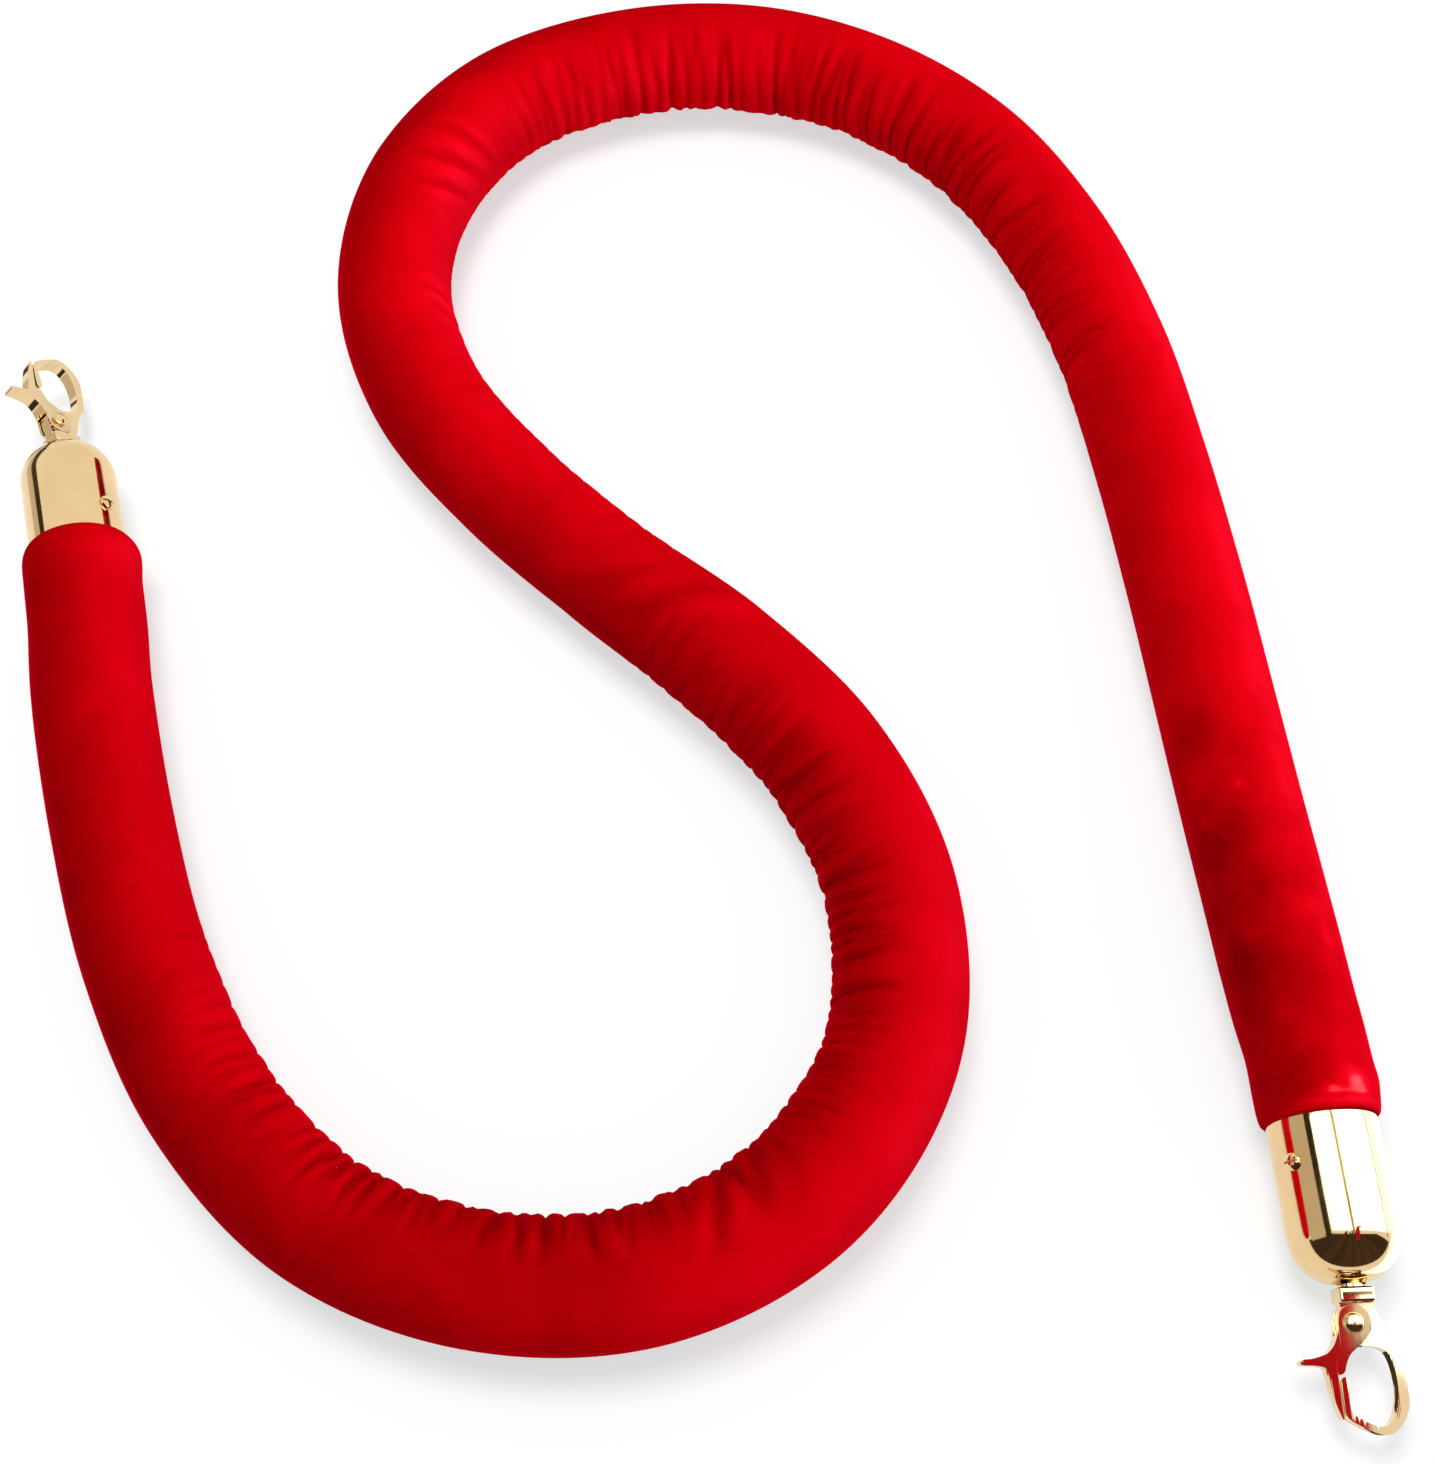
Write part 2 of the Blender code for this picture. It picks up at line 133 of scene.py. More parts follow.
cam = bpy.data.cameras.new("camera")
cam_ob = new_object("camera", cam)
cam_ob.location = CAMERA_AT
cam_ob.rotation_euler = (math.radians(CAMERA_TILT), 0.0, 0.0)
cam.lens = CAMERA_LENS
cam.clip_start = 0.01
scene.camera = cam_ob


# ---------------------------------------------------------------- centreline
def heading(head, droop):
    """Direction on a compass course (degrees), dipping below the level by droop."""
    h, d = math.radians(head), math.radians(droop)
    return Vector((math.sin(h) * math.cos(d), math.cos(h) * math.cos(d), -math.sin(d)))


def axes(head, droop, roll=0.0):
    """X outward, Y level and to its right, Z = X x Y, rolled about X."""
    u = heading(head, droop)
    v = u.cross(Vector((0, 0, 1))).normalized()
    v = Matrix.Rotation(math.radians(roll), 3, u) @ v
    return Matrix((u, v, u.cross(v))).transposed()


def smooth_curve(pts):
    """Centripetal Catmull-Rom curve through the points."""
    out = []
    p = [2 * pts[0] - pts[1]] + pts + [2 * pts[-1] - pts[-2]]
    for i in range(1, len(p) - 2):
        p0, p1, p2, p3 = p[i - 1:i + 3]
        t1 = math.sqrt((p1 - p0).length)
        t2 = t1 + math.sqrt((p2 - p1).length)
        t3 = t2 + math.sqrt((p3 - p2).length)
        for k in range(CURVE_STEPS):
            t = t1 + (t2 - t1) * k / CURVE_STEPS
            a1 = (t1 - t) / t1 * p0 + t / t1 * p1
            a2 = (t2 - t) / (t2 - t1) * p1 + (t - t1) / (t2 - t1) * p2
            a3 = (t3 - t) / (t3 - t2) * p2 + (t - t2) / (t3 - t2) * p3
            b1 = (t2 - t) / t2 * a1 + t / t2 * a2
            b2 = (t3 - t) / (t3 - t1) * a2 + (t - t1) / (t3 - t1) * a3
            out.append((t2 - t) / (t2 - t1) * b1 + (t - t1) / (t2 - t1) * b2)
    return out + [pts[-1].copy()]


def straight_end(side):
    """The rope's last points at one end, in line with its cap, outermost first."""
    e = ENDS[side]
    p = Vector(e["edge"]) + SHIFT
    a = heading(e["head"], e["droop"])
    return [p, p - a * STRAIGHT, p - a * (2 * STRAIGHT)]


control = straight_end("left")
control += [Vector((x, y, R_SLEEVE * MM)) + SHIFT for x, y in ROUTE]
control += straight_end("right")[::-1]
curve = np.array(smooth_curve(control))
curve_s = np.concatenate([[0.0], np.cumsum(np.linalg.norm(np.diff(curve, axis=0), axis=1))])
LENGTH = float(curve_s[-1])


def on_curve(s):
    """Points of the centreline at arc lengths s (metres)."""
    return np.stack([np.interp(s, curve_s, curve[:, k]) for k in range(3)], axis=-1)


# ---------------------------------------------------------------- materials
class Nodes:
    """Short way to write a node tree."""

    def __init__(self, name, roughness=0.5, metallic=0.0, colour=None, **sockets):
        self.mat = bpy.data.materials.new(name)
        self.mat.use_nodes = True
        self.tree = self.mat.node_tree
        self.bsdf = self.tree.nodes["Principled BSDF"]
        self.set("Roughness", roughness)
        self.set("Metallic", metallic)
        if colour:
            self.set("Base Color", (*colour, 1.0))
        for key, value in sockets.items():
            self.set(key.replace("_", " "), value)
        self.coord = self.node("ShaderNodeTexCoord")

    def set(self, socket, value):
        self.bsdf.inputs[socket].default_value = value

    def node(self, kind, **props):
        n = self.tree.nodes.new(kind)
        for key, value in props.items():
            setattr(n, key, value)
        return n

    def link(self, a, b):
        self.tree.links.new(a, b)

    def noise(self, scale, detail=4.0, rough=0.6, stretch=None, distortion=0.0):
        n = self.node("ShaderNodeTexNoise")
        n.inputs["Scale"].default_value = scale
        n.inputs["Detail"].default_value = detail
        n.inputs["Roughness"].default_value = rough
        n.inputs["Distortion"].default_value = distortion
        source = self.coord.outputs["Object"]
        if stretch:
            m = self.node("ShaderNodeMapping")
            m.inputs["Scale"].default_value = stretch
            self.link(source, m.inputs["Vector"])
            source = m.outputs["Vector"]
        self.link(source, n.inputs["Vector"])
        return n.outputs["Fac"]

    def remap(self, value, lo, hi, to_lo, to_hi):
        n = self.node("ShaderNodeMapRange")
        for key, x in (("From Min", lo), ("From Max", hi), ("To Min", to_lo), ("To Max", to_hi)):
            n.inputs[key].default_value = x
        self.link(value, n.inputs["Value"])
        return n.outputs["Result"]

    def maths(self, op, a, b):
        n = self.node("ShaderNodeMath", operation=op)
        self.link(a, n.inputs[0])
        self.link(b, n.inputs[1])
        return n.outputs["Value"]

    def ramp(self, value, stops):
        n = self.node("ShaderNodeValToRGB")
        while len(n.color_ramp.elements) < len(stops):
            n.color_ramp.elements.new(0.5)
        for e, (at, colour) in zip(n.color_ramp.elements, stops):
            e.position = at
            e.color = (*colour, 1.0)
        self.link(value, n.inputs["Fac"])
        return n.outputs["Color"]

    def bump(self, height, strength, distance, under=None):
        n = self.node("ShaderNodeBump")
        n.inputs["Strength"].default_value = strength
        n.inputs["Distance"].default_value = distance
        self.link(height, n.inputs["Height"])
        if under is not None:
            self.link(under, n.inputs["Normal"])
        return n.outputs["Normal"]


# Painted side light: the direction whose faces are painted lightest, and how light they are painted from
# facing away from it (0) to facing towards it (1).
PAINTED_LIGHT_FROM = (0.80, -0.25, 0.15)
PAINTED_SIDE_RAMP = [(0.0, 0.25), (0.15, 0.24), (0.28, 0.26), (0.50, 0.42), (0.70, 0.63), (0.89, 0.87), (1.0, 0.95)]
# The velvet's reds from its deepest tone to its lightest, and the pale pink of the painted sheen spots.
REDS = [(0.0, (0.17, 0.0, 0.0006)), (0.30, (0.30, 0.0, 0.0012)), (0.58, (0.50, 0.0, 0.0028)),
        (0.80, (0.68, 0.0005, 0.0060)), (1.0, (0.90, 0.003, 0.0160))]
PAINTED_SHEEN_PINK = (1.0, 0.30, 0.34)


def velvet_material():
    """Short red pile. Painted side light: faces turned towards one direction are painted lighter and those
    turned away darker. Painted shade darkens the folds' valleys and painted light lifts their ridges, a
    tone shift along the rope and painted sheen spots lighten or darken it, and crushed patches shift the
    tone."""
    m = Nodes("velvet_red", roughness=0.85, Sheen_Weight=0.45, Sheen_Roughness=0.35,
              Sheen_Tint=(1.0, 0.0, 0.03, 1.0), Specular_IOR_Level=0.0)
    geo = m.node("ShaderNodeNewGeometry")
    # painted side light: faces turned towards that direction are painted lighter, those turned away darker
    towards_light = m.node("ShaderNodeVectorMath", operation="DOT_PRODUCT")
    towards_light.inputs[1].default_value = PAINTED_LIGHT_FROM
    m.link(geo.outputs["Normal"], towards_light.inputs[0])
    facing = m.remap(towards_light.outputs["Value"], -0.8, 0.8, 0.0, 1.0)
    side_light = m.ramp(facing, [(at, (grey, grey, grey)) for at, grey in PAINTED_SIDE_RAMP])
    rubbed, fold_and_shade, tone_and_sheen = (m.node("ShaderNodeAttribute", attribute_name=name).outputs["Fac"]
                            for name in ("rubbed", "fold_and_shade", "tone_and_sheen"))
    hairs = m.noise(2600.0, 2.0, 0.7)
    crushed = m.remap(m.noise(60.0, 3.0, 0.6, distortion=0.25), 0.35, 0.65, -0.10, 0.10)
    tone = side_light
    for change in (m.remap(m.noise(26.0, 3.0, 0.55, distortion=0.6), 0.35, 0.65, -0.06, 0.06),
                   m.maths("MULTIPLY", crushed, rubbed),
                   # painted shade in the valleys of the gathers, painted light on their ridges
                   m.remap(fold_and_shade, -1.2, 0.8, -0.26, 0.10),
                   # tone shift along the rope, with crushed patches and painted sheen spots
                   tone_and_sheen,
                   m.remap(hairs, 0.3, 0.7, -0.035, 0.035)):
        tone = m.maths("ADD", tone, change)
    # painted sheen: where the sheen spots peak, the colour turns pale pink
    sheen_mix = m.node("ShaderNodeMixRGB")
    sheen_mix.inputs["Color2"].default_value = (*PAINTED_SHEEN_PINK, 1.0)
    m.link(m.remap(tone_and_sheen, 0.34, 0.90, 0.0, 0.60), sheen_mix.inputs["Fac"])
    m.link(m.ramp(tone, REDS), sheen_mix.inputs["Color1"])
    m.link(sheen_mix.outputs["Color"], m.bsdf.inputs["Base Color"])
    m.link(m.remap(tone, 0.0, 1.0, 0.92, 0.78), m.bsdf.inputs["Roughness"])
    fine = m.bump(hairs, 0.35, 0.00025)
    m.link(m.bump(m.noise(240.0, 3.0, 0.5, distortion=0.8), 0.25, 0.0006, fine),
           m.bsdf.inputs["Normal"])
    return m.mat


def gold_material(name, colour, rough):
    """Polished plate with faint wear: fine scratches, and soft smears."""
    m = Nodes(name, roughness=rough, metallic=1.0)
    smear = m.noise(60.0, 4.0, 0.55, distortion=0.4)
    tint = [tuple(c * k for c in colour) for k in (0.90, 1.0)]
    m.link(m.ramp(smear, [(0.3, tint[0]), (0.7, tint[1])]), m.bsdf.inputs["Base Color"])
    m.link(m.remap(smear, 0.35, 0.7, rough * 0.7, rough * 1.8), m.bsdf.inputs["Roughness"])
    m.link(m.bump(m.noise(900.0, 3.0, 0.6, stretch=(1.0, 0.12, 1.0)), 0.05, 0.00004),
           m.bsdf.inputs["Normal"])
    return m.mat


def steel_material():
    m = Nodes("spring_steel", roughness=0.3, metallic=1.0, colour=(0.55, 0.55, 0.57))
    m.link(m.remap(m.noise(1500.0), 0.3, 0.7, 0.22, 0.42), m.bsdf.inputs["Roughness"])
    m.link(m.bump(m.noise(3000.0), 0.2, 0.00003), m.bsdf.inputs["Normal"])
    return m.mat


def wood_material():
    m = Nodes("plug_wood", roughness=0.7)
    grain = m.noise(220.0, 5.0, 0.6, stretch=(1.0, 0.08, 1.0), distortion=0.5)
    m.link(m.ramp(grain, [(0.3, (0.32, 0.17, 0.07)), (0.7, (0.62, 0.42, 0.22))]),
           m.bsdf.inputs["Base Color"])
    m.link(m.bump(grain, 0.3, 0.0002), m.bsdf.inputs["Normal"])
    return m.mat


def fibre_material(name, light, dark, scale):
    """Undyed cotton."""
    m = Nodes(name, roughness=0.95, Sheen_Weight=0.2)
    fluff = m.noise(scale, 6.0, 0.7, distortion=1.0)
    m.link(m.ramp(fluff, [(0.3, dark), (0.7, light)]), m.bsdf.inputs["Base Color"])
    m.link(m.bump(fluff, 0.7, 0.0006), m.bsdf.inputs["Normal"])
    return m.mat


VELVET = velvet_material()
GOLD = gold_material("gold_plate", (0.86, 0.62, 0.32), 0.07)
GOLD_HOOK = gold_material("gold_hook", (0.86, 0.64, 0.36), 0.05)
STEEL = steel_material()
WOOD = wood_material()
WADDING = fibre_material("cotton_wadding", (0.85, 0.80, 0.70), (0.62, 0.57, 0.47), 500.0)
CORD = fibre_material("cotton_cord", (0.70, 0.62, 0.48), (0.42, 0.35, 0.25), 1400.0)


# ---------------------------------------------------------------- velvet sleeve
RINGS = int(LENGTH / MM / 1.15)    # one every 1.15 mm
AROUND = 84                        # points in a ring
HEM_RINGS = 3                      # rings of the cloth turned in at each end
HEM_SHOULDER = 7.5                 # mm over which the velvet rounds in to the cap
HEM_ROUND = 3.2                    # how full that shoulder is
HEM_GAP = 0.25                     # mm between the velvet's edge and the cap
PUCKERS = 640                      # small folds between the gathers
CORE_CLEAR = 15.6                  # mm, least radius, just above the wadding
RIGHT_CREEP = 1.9                  # mm that the right-hand edge has crept back
FLATTEN = 0.0014                   # m of the underside that flattens on the floor
# Mean distance between pleats on an inner side, along the rope (mm, mm).
PITCH = [(0, 6.6), (200, 6.8), (330, 6.0), (400, 5.3), (480, 5.2), (600, 6.2), (760, 6.2),
         (830, 6.0), (900, 5.6), (1000, 5.8), (1100, 6.2), (1340, 6.5)]

# Outside radius along the rope (mm along it, mm): slack and full stretches.
FULLNESS = [(0, 16.9), (60, 17.1), (100, 16.9), (150, 16.8), (230, 16.8), (330, 17.8), (420, 18.4),
            (510, 18.4), (545, 18.2), (590, 17.2), (660, 17.7), (765, 18.7), (860, 17.6),
            (960, 17.2), (1100, 17.3), (1190, 17.2), (1290, 16.8), (1322, 16.2), (1340, 16.0)]
# How strongly each stretch is gathered on the inside of its bend.
GATHER = [(0, 0.0), (125, 0.0), (165, 0.85), (260, 0.9), (370, 0.85), (420, 1.2), (520, 1.05),
          (585, 0.6), (620, 0.3), (690, 0.15), (790, 0.2), (835, 0.8), (880, 1.15), (1000, 1.15),
          (1085, 0.9), (1120, 0.0), (1340, 0.0)]
# Tone shift along the rope (mm, lighter or darker).
TONE_ALONG = [(0, -0.03), (80, -0.10), (140, -0.13), (200, -0.15), (260, -0.17), (320, -0.07),
          (380, 0.0), (440, 0.02), (500, -0.02), (560, 0.0), (620, 0.08), (680, 0.06),
          (740, 0.0), (800, 0.0), (860, 0.02), (920, 0.10), (980, 0.09), (1040, 0.11),
          (1100, 0.16), (1180, 0.18), (1220, 0.20), (1280, -0.01), (1340, 0.02)]
# Crushed patches (darker) and painted sheen spots (lighter) near the right-hand end: place (mm), angle off
# the top, reach along (mm) and round (rad), lighter or darker.
CRUSH_AND_SHEEN_SPOTS = [(1228, -0.75, 9.0, 0.40, -0.16), (1234, -0.15, 8.0, 0.35, -0.08),
         (1262, -1.00, 8.0, 0.35, -0.18), (1258, -0.45, 6.0, 0.30, -0.14),
         (1276, -0.30, 6.0, 0.35, -0.10), (1295, -1.00, 7.0, 0.30, -0.16),
         (1300, -0.25, 9.0, 0.30, -0.08), (1246, -0.28, 1.6, 0.09, 0.30),
         (1253, -1.02, 1.8, 0.10, 0.24), (1256, -0.95, 1.0, 0.14, 0.16),
         (1270, -1.25, 3.0, 0.10, 0.14), (1283, 0.35, 3.0, 0.22, 0.12),
         (1289, -0.65, 1.6, 0.12, 0.14), (1291, 0.55, 5.0, 0.10, 0.14),
         (1332.5, 0.43, 2.6, 0.19, 0.62), (1335.0, 0.55, 1.2, 0.12, 0.28),
         (1334.0, -0.02, 1.5, 0.16, 0.30), (1332.0, 0.10, 1.2, 0.10, 0.16),
         (1335.0, 0.16, 1.1, 0.42, 0.30), (1337.6, 0.34, 0.8, 0.55, 0.30),
         (1337.0, -0.35, 0.9, 0.32, 0.24), (1329.0, 0.25, 2.5, 0.20, 0.14)]
# Lumps of the ends, where the stuffing sits unevenly: same measures, height.
LUMPS = [(7, 1.25, 5.0, 0.60, 1.5), (22, 1.40, 6.0, 0.60, -0.3), (20, -1.40, 9.0, 0.60, 0.3),
         (1330, 1.30, 4.0, 0.50, 0.5), (1328, 0.30, 3.5, 0.70, 0.4), (1318, 1.50, 6.0, 0.50, -0.4)]
# A few long, shallow creases: place along the rope (mm), the angles it runs
# between, how far it runs along (mm), depth and width (mm).
CREASES = [
    (757, -0.2, -1.5, 10, 0.9, 2.0), (768, 0.1, -1.5, 12, 1.0, 2.2),
    (779, 0.2, -1.5, 9, 0.7, 1.8), (697, -0.6, -1.6, -8, 0.6, 2.0),
    (706, -0.5, -1.6, -7, 0.5, 1.8), (338, -0.3, 1.3, 14, 0.8, 2.4),
    (352, -0.1, 1.4, 12, 0.6, 2.2), (560, 0.9, -0.9, -18, 0.6, 4.0),
    (574, 1.0, -0.6, -20, 0.45, 4.0), (300, 0.1, 1.3, -6, 0.6, 2.2),
    (288, 0.2, 1.3, -5, 0.45, 2.0),
]


def table(x, pairs):
    """Values at places x along the rope (mm), between the table's own."""
    a = np.array(pairs, float)
    return np.interp(x, a[:, 0], a[:, 1])


def dabs(x, a, marks):
    """Sum of soft round marks at places x (mm) and angles a."""
    total = np.zeros(np.broadcast(x, a).shape)
    for at, angle, long, wide, size in marks:
        turn = (a - angle + math.pi) % (2 * math.pi) - math.pi
        total += size * np.exp(-((x - at) / long) ** 2 - (turn / wide) ** 2)
    return total


def ease(x, lo, hi):
    """Smooth step from 0 at lo to 1 at hi."""
    t = np.clip((x - lo) / (hi - lo), 0.0, 1.0)
    return t * t * (3 - 2 * t)


def bend_of(s):
    """Signed curvature of the route in plan, per metre, smoothed."""
    x = np.linspace(0.0, LENGTH, 1400)
    p = on_curve(x)
    d = np.gradient(p, x, axis=0)
    turn = np.unwrap(np.arctan2(d[:, 1], d[:, 0]))
    k = np.gradient(turn, x)
    w = np.hanning(61)
    k = np.convolve(np.pad(k, len(w) // 2, mode="edge"), w / w.sum(), mode="valid")
    return np.interp(s, x, k)


def smooth_noise(rng, x, step):
    """Value noise of unit range along x."""
    n = int(x.max() / step) + 4
    v = rng.uniform(-1, 1, n)
    i = np.floor(x / step).astype(int)
    t = x / step - i
    t = t * t * (3 - 2 * t)
    return v[i] * (1 - t) + v[i + 1] * t


def pleat_depth(rng, X, off):
    """Depth of the valleys between the gathers, each with its own reach round
    the rope from the inner side, its slant and its bow."""
    x = X[:, 0]
    at = 60.0
    depth = np.zeros_like(X)
    while at < x[-1] - 40:
        at += table(at, PITCH) * rng.uniform(0.6, 1.35)
        strong = rng.random() < 0.45
        reach = rng.uniform(1.6, 2.15) if strong else rng.uniform(0.95, 1.5)
        deep = rng.uniform(0.55, 1.3)
        slant = rng.uniform(-2.4, 2.4)
        bow = rng.uniform(-1.0, 1.0)
        rows = np.where(np.abs(x - at) < 16)[0]
        o = off[rows]
        t = np.abs(o) / reach
        window = np.clip(1 - t * t, 0, None) ** 0.7
        width = 0.80 + 0.65 * t
        d = X[rows] - at - slant * o - bow * np.cos(2 * o)
        valley = np.exp(-np.abs(d / width) ** 1.25)
        depth[rows] += valley * window * deep * (1.15 if strong else 1.0)
    return np.clip(depth, 0, 1.5)


def add_puckers(rng, X, off, amp, r, gather):
    """Fine puckers between the gathers, up to the top of the rope."""
    for _ in range(PUCKERS):
        at = rng.uniform(100.0, 1120.0)
        middle, reach = rng.uniform(0.5, 1.35), rng.uniform(0.35, 0.8)
        slant = rng.uniform(-3.0, 3.0)
        deep = rng.uniform(0.35, 0.85)
        rows = np.where(np.abs(X[:, 0] - at) < 5)[0]
        o = np.abs(off[rows])
        window = np.clip(1 - ((o - middle) / reach) ** 2, 0, None)
        d = X[rows] - at - slant * (off[rows] - middle * np.sign(off[rows]))
        pucker = -deep * window * np.exp(-np.abs(d / 0.75) ** 1.5) * amp[rows]
        r[rows] += pucker
        gather[rows] += pucker


def sleeve_surface():
    """Radius (mm) of the velvet at each ring and angle, with its gathers, and
    the gathers alone. The angle is 0 on top and grows towards the rope's left."""
    rng = np.random.default_rng(11)
    s = np.linspace(0.0, LENGTH, RINGS)
    x = s / MM
    X, A = np.meshgrid(x, np.arange(AROUND) * 2 * math.pi / AROUND, indexing="ij")
    kappa = bend_of(s)
    inner = np.where(kappa > 0, math.pi / 2, -math.pi / 2)     # left or right side
    off = (A - inner[:, None] + math.pi) % (2 * math.pi) - math.pi
    facing = np.cos(off)                                       # 1 on the inner side
    squeeze = np.abs(kappa)[:, None] * R_SLEEVE * MM * facing  # shortening of the cloth
    # a wave as long as the pitch takes up that much cloth at this height
    amp = np.sqrt(np.clip(squeeze - 0.006, 0.0, None)) * table(x, PITCH)[:, None] / math.pi
    amp *= table(x, GATHER)[:, None]
    gather = amp * (0.62 - 1.65 * pleat_depth(rng, X, off))
    r = table(x, FULLNESS)[:, None] + gather
    # broad soft folds that carry on round the face from the strongest gathers
    wave = smooth_noise(rng, x, 9.0)[:, None]
    drift = smooth_noise(rng, x + 40, 23.0)[:, None]
    r += 0.32 * amp * (wave + 0.5 * drift) * ease(facing, -0.3, 0.6)
    add_puckers(rng, X, off, amp, r, gather)
    # slow unevenness of the stuffing
    for k, (length, size) in enumerate(((90.0, 0.16), (37.0, 0.10))):
        n1 = smooth_noise(rng, x + 200 * k, length)[:, None]
        n2 = smooth_noise(rng, x + 311 * k, length)[:, None]
        r += size * (n1 * np.cos(A) + n2 * np.sin(A))
    r += dabs(X, A, LUMPS)
    return s, A, np.maximum(r, CORE_CLEAR), gather


def add_creases(s, A, r, gather):
    """Presses the long creases into the radius and the gathers."""
    x = (s / MM)[:, None]
    a = (A + math.pi) % (2 * math.pi) - math.pi
    for at, a0, a1, run, deep, width in CREASES:
        t = (a - a0) / (a1 - a0)
        window = np.clip(1 - (2 * t - 1) ** 2, 0, None) ** 0.7 * ((t > 0) & (t < 1))
        d = x - at - run * (t - 0.5)
        # the crease's depth; through the gathers it also sets the painted fold shade
        fold_and_shade = deep * window * (0.45 * np.exp(-((np.abs(d) - 2.1 * width) / width) ** 2)
                                - np.exp(-(d / width) ** 2))
        r += fold_and_shade
        gather += fold_and_shade


def hem(s, r):
    """Rounds the velvet in to the cap at both ends."""
    inside = R_CAP + HEM_GAP
    for d in (s / MM, (LENGTH - s) / MM):
        shoulder = np.clip(d / HEM_SHOULDER, 0, 1)
        bulge = (1 - (1 - shoulder) ** HEM_ROUND) ** 0.5
        r = inside + (r - inside) * bulge[:, None]
    return r


def ring_frames(s):
    """Centre of each ring, and the directions of its top and left side."""
    centre = on_curve(s - RIGHT_CREEP * MM * ease(s / MM, LENGTH / MM - 30, LENGTH / MM))
    along = np.gradient(centre, s, axis=0)
    along /= np.linalg.norm(along, axis=1)[:, None]
    left = np.stack([-along[:, 1], along[:, 0], np.zeros(len(s))], axis=1)
    left /= np.linalg.norm(left, axis=1)[:, None]
    return centre, np.cross(along, left), left


def with_hems(co, turn, centre, top, left):
    """The rings, with the cloth turned in under each end."""
    rings = list(co)
    for end, side in ((0, "left"), (-1, "right")):
        out = np.array(heading(ENDS[side]["head"], ENDS[side]["droop"]))
        for radius, depth in ((R_CAP + 0.12, -0.35), (R_CAP + 0.08, -2.0), (R_CAP + 0.06, -6.0)):
            ring = (centre[end][None, :] + out[None, :] * depth * MM
                    + np.cos(turn)[:, None] * radius * MM * top[end][None, :]
                    + np.sin(turn)[:, None] * radius * MM * left[end][None, :])
            rings.insert(0 if end == 0 else len(rings), ring)
    return np.array(rings)


def tube_mesh(name, rings):
    """Smooth mesh over rings of points, open at both ends."""
    n, m = rings.shape[:2]
    index = np.arange(n * m).reshape(n, m)
    following = np.roll(index, -1, axis=1)
    quads = np.stack([index[:-1], following[:-1], following[1:], index[1:]], axis=-1).reshape(-1, 4)
    me = bpy.data.meshes.new(name)
    me.from_pydata(rings.reshape(-1, 3).tolist(), [], quads[:, ::-1].tolist())
    me.polygons.foreach_set("use_smooth", [True] * len(me.polygons))
    return me


def paint_wear_and_light(me, turn, gather):
    """Where the pile is crushed, where folds get painted shade, and the tone along the rope with its
    painted sheen spots, for velvet_material.
    """
    n, m = RINGS + 2 * HEM_RINGS, AROUND
    x = np.clip((np.arange(n) - HEM_RINGS) / (RINGS - 1) * LENGTH / MM, 0, LENGTH / MM)
    rubbed = np.repeat(0.10 + 0.75 * ease(x, 1195, 1250), m)   # towards the right-hand end
    # tone shift along the rope, with crushed patches and painted sheen spots
    tone_and_sheen = table(x, TONE_ALONG)[:, None] + dabs(x[:, None], turn[None, :], CRUSH_AND_SHEEN_SPOTS)
    # painted shade and light of the folds: the gathers' depth, darker in valleys, lighter on ridges
    fold_and_shade = np.zeros((n, m))
    fold_and_shade[HEM_RINGS:-HEM_RINGS] = np.clip(gather, -1.6, 1.0)
    for key, values in (("rubbed", rubbed), ("fold_and_shade", fold_and_shade), ("tone_and_sheen", tone_and_sheen)):
        layer = me.attributes.new(key, "FLOAT", "POINT")
        layer.data.foreach_set("value", values.reshape(-1).astype(np.float32))
    me.update()


def build_sleeve():
    s, A, r, gather = sleeve_surface()
    add_creases(s, A, r, gather)
    r = hem(s, r)
    centre, top, left = ring_frames(s)
    co = (centre[:, None, :] + (np.cos(A) * r * MM)[:, :, None] * top[:, None, :]
          + (np.sin(A) * r * MM)[:, :, None] * left[:, None, :])
    # the rope is soft: it flattens where it rests on the floor
    z = co[:, :, 2]
    pressed = FLATTEN - (FLATTEN - 0.0002) * (1 - np.exp(-(FLATTEN - z) / FLATTEN))
    co[:, :, 2] = np.where(z < FLATTEN, pressed, z)
    me = tube_mesh("velvet_sleeve_cloth", with_hems(co, A[0], centre, top, left))
    paint_wear_and_light(me, A[0], gather)
    me.materials.append(VELVET)
    return new_object(me.name, me)


sleeve = build_sleeve()
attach(sleeve, "rope")
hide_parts("velvet_sleeve")


# ---------------------------------------------------------------- fittings
def fit(name, me, mat, body, matrix, node):
    """A polished piece in place of a CAD node, riding on a body."""
    ob = new_object(name, me)
    me.transform(matrix)
    me.materials.clear()
    me.materials.append(mat)
    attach(ob, body)
    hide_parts(node)


def lathe(name, profile, steps):
    """Profile of (height, radius) turned about X, in millimetres."""
    me = bpy.data.meshes.new(name)
    bm = bmesh.new()
    rings = []
    for h, r in profile:
        if r < 1e-6:
            rings.append([bm.verts.new((h * MM, 0, 0))])
        else:
            rings.append([bm.verts.new((h * MM, r * MM * math.cos(t), r * MM * math.sin(t)))
                          for t in (2 * math.pi * k / steps for k in range(steps))])
    for a, b in zip(rings[:-1], rings[1:]):
        for k in range(steps):
            j = (k + 1) % steps
            q = [a[k % len(a)], a[j % len(a)], b[j % len(b)], b[k % len(b)]]
            q = [v for i, v in enumerate(q) if v not in q[:i]]
            if len(q) > 2:
                bm.faces.new(q)
    bmesh.ops.recalc_face_normals(bm, faces=bm.faces)
    for f in bm.faces:
        f.smooth = True
    bm.to_mesh(me)
    bm.free()
    return me


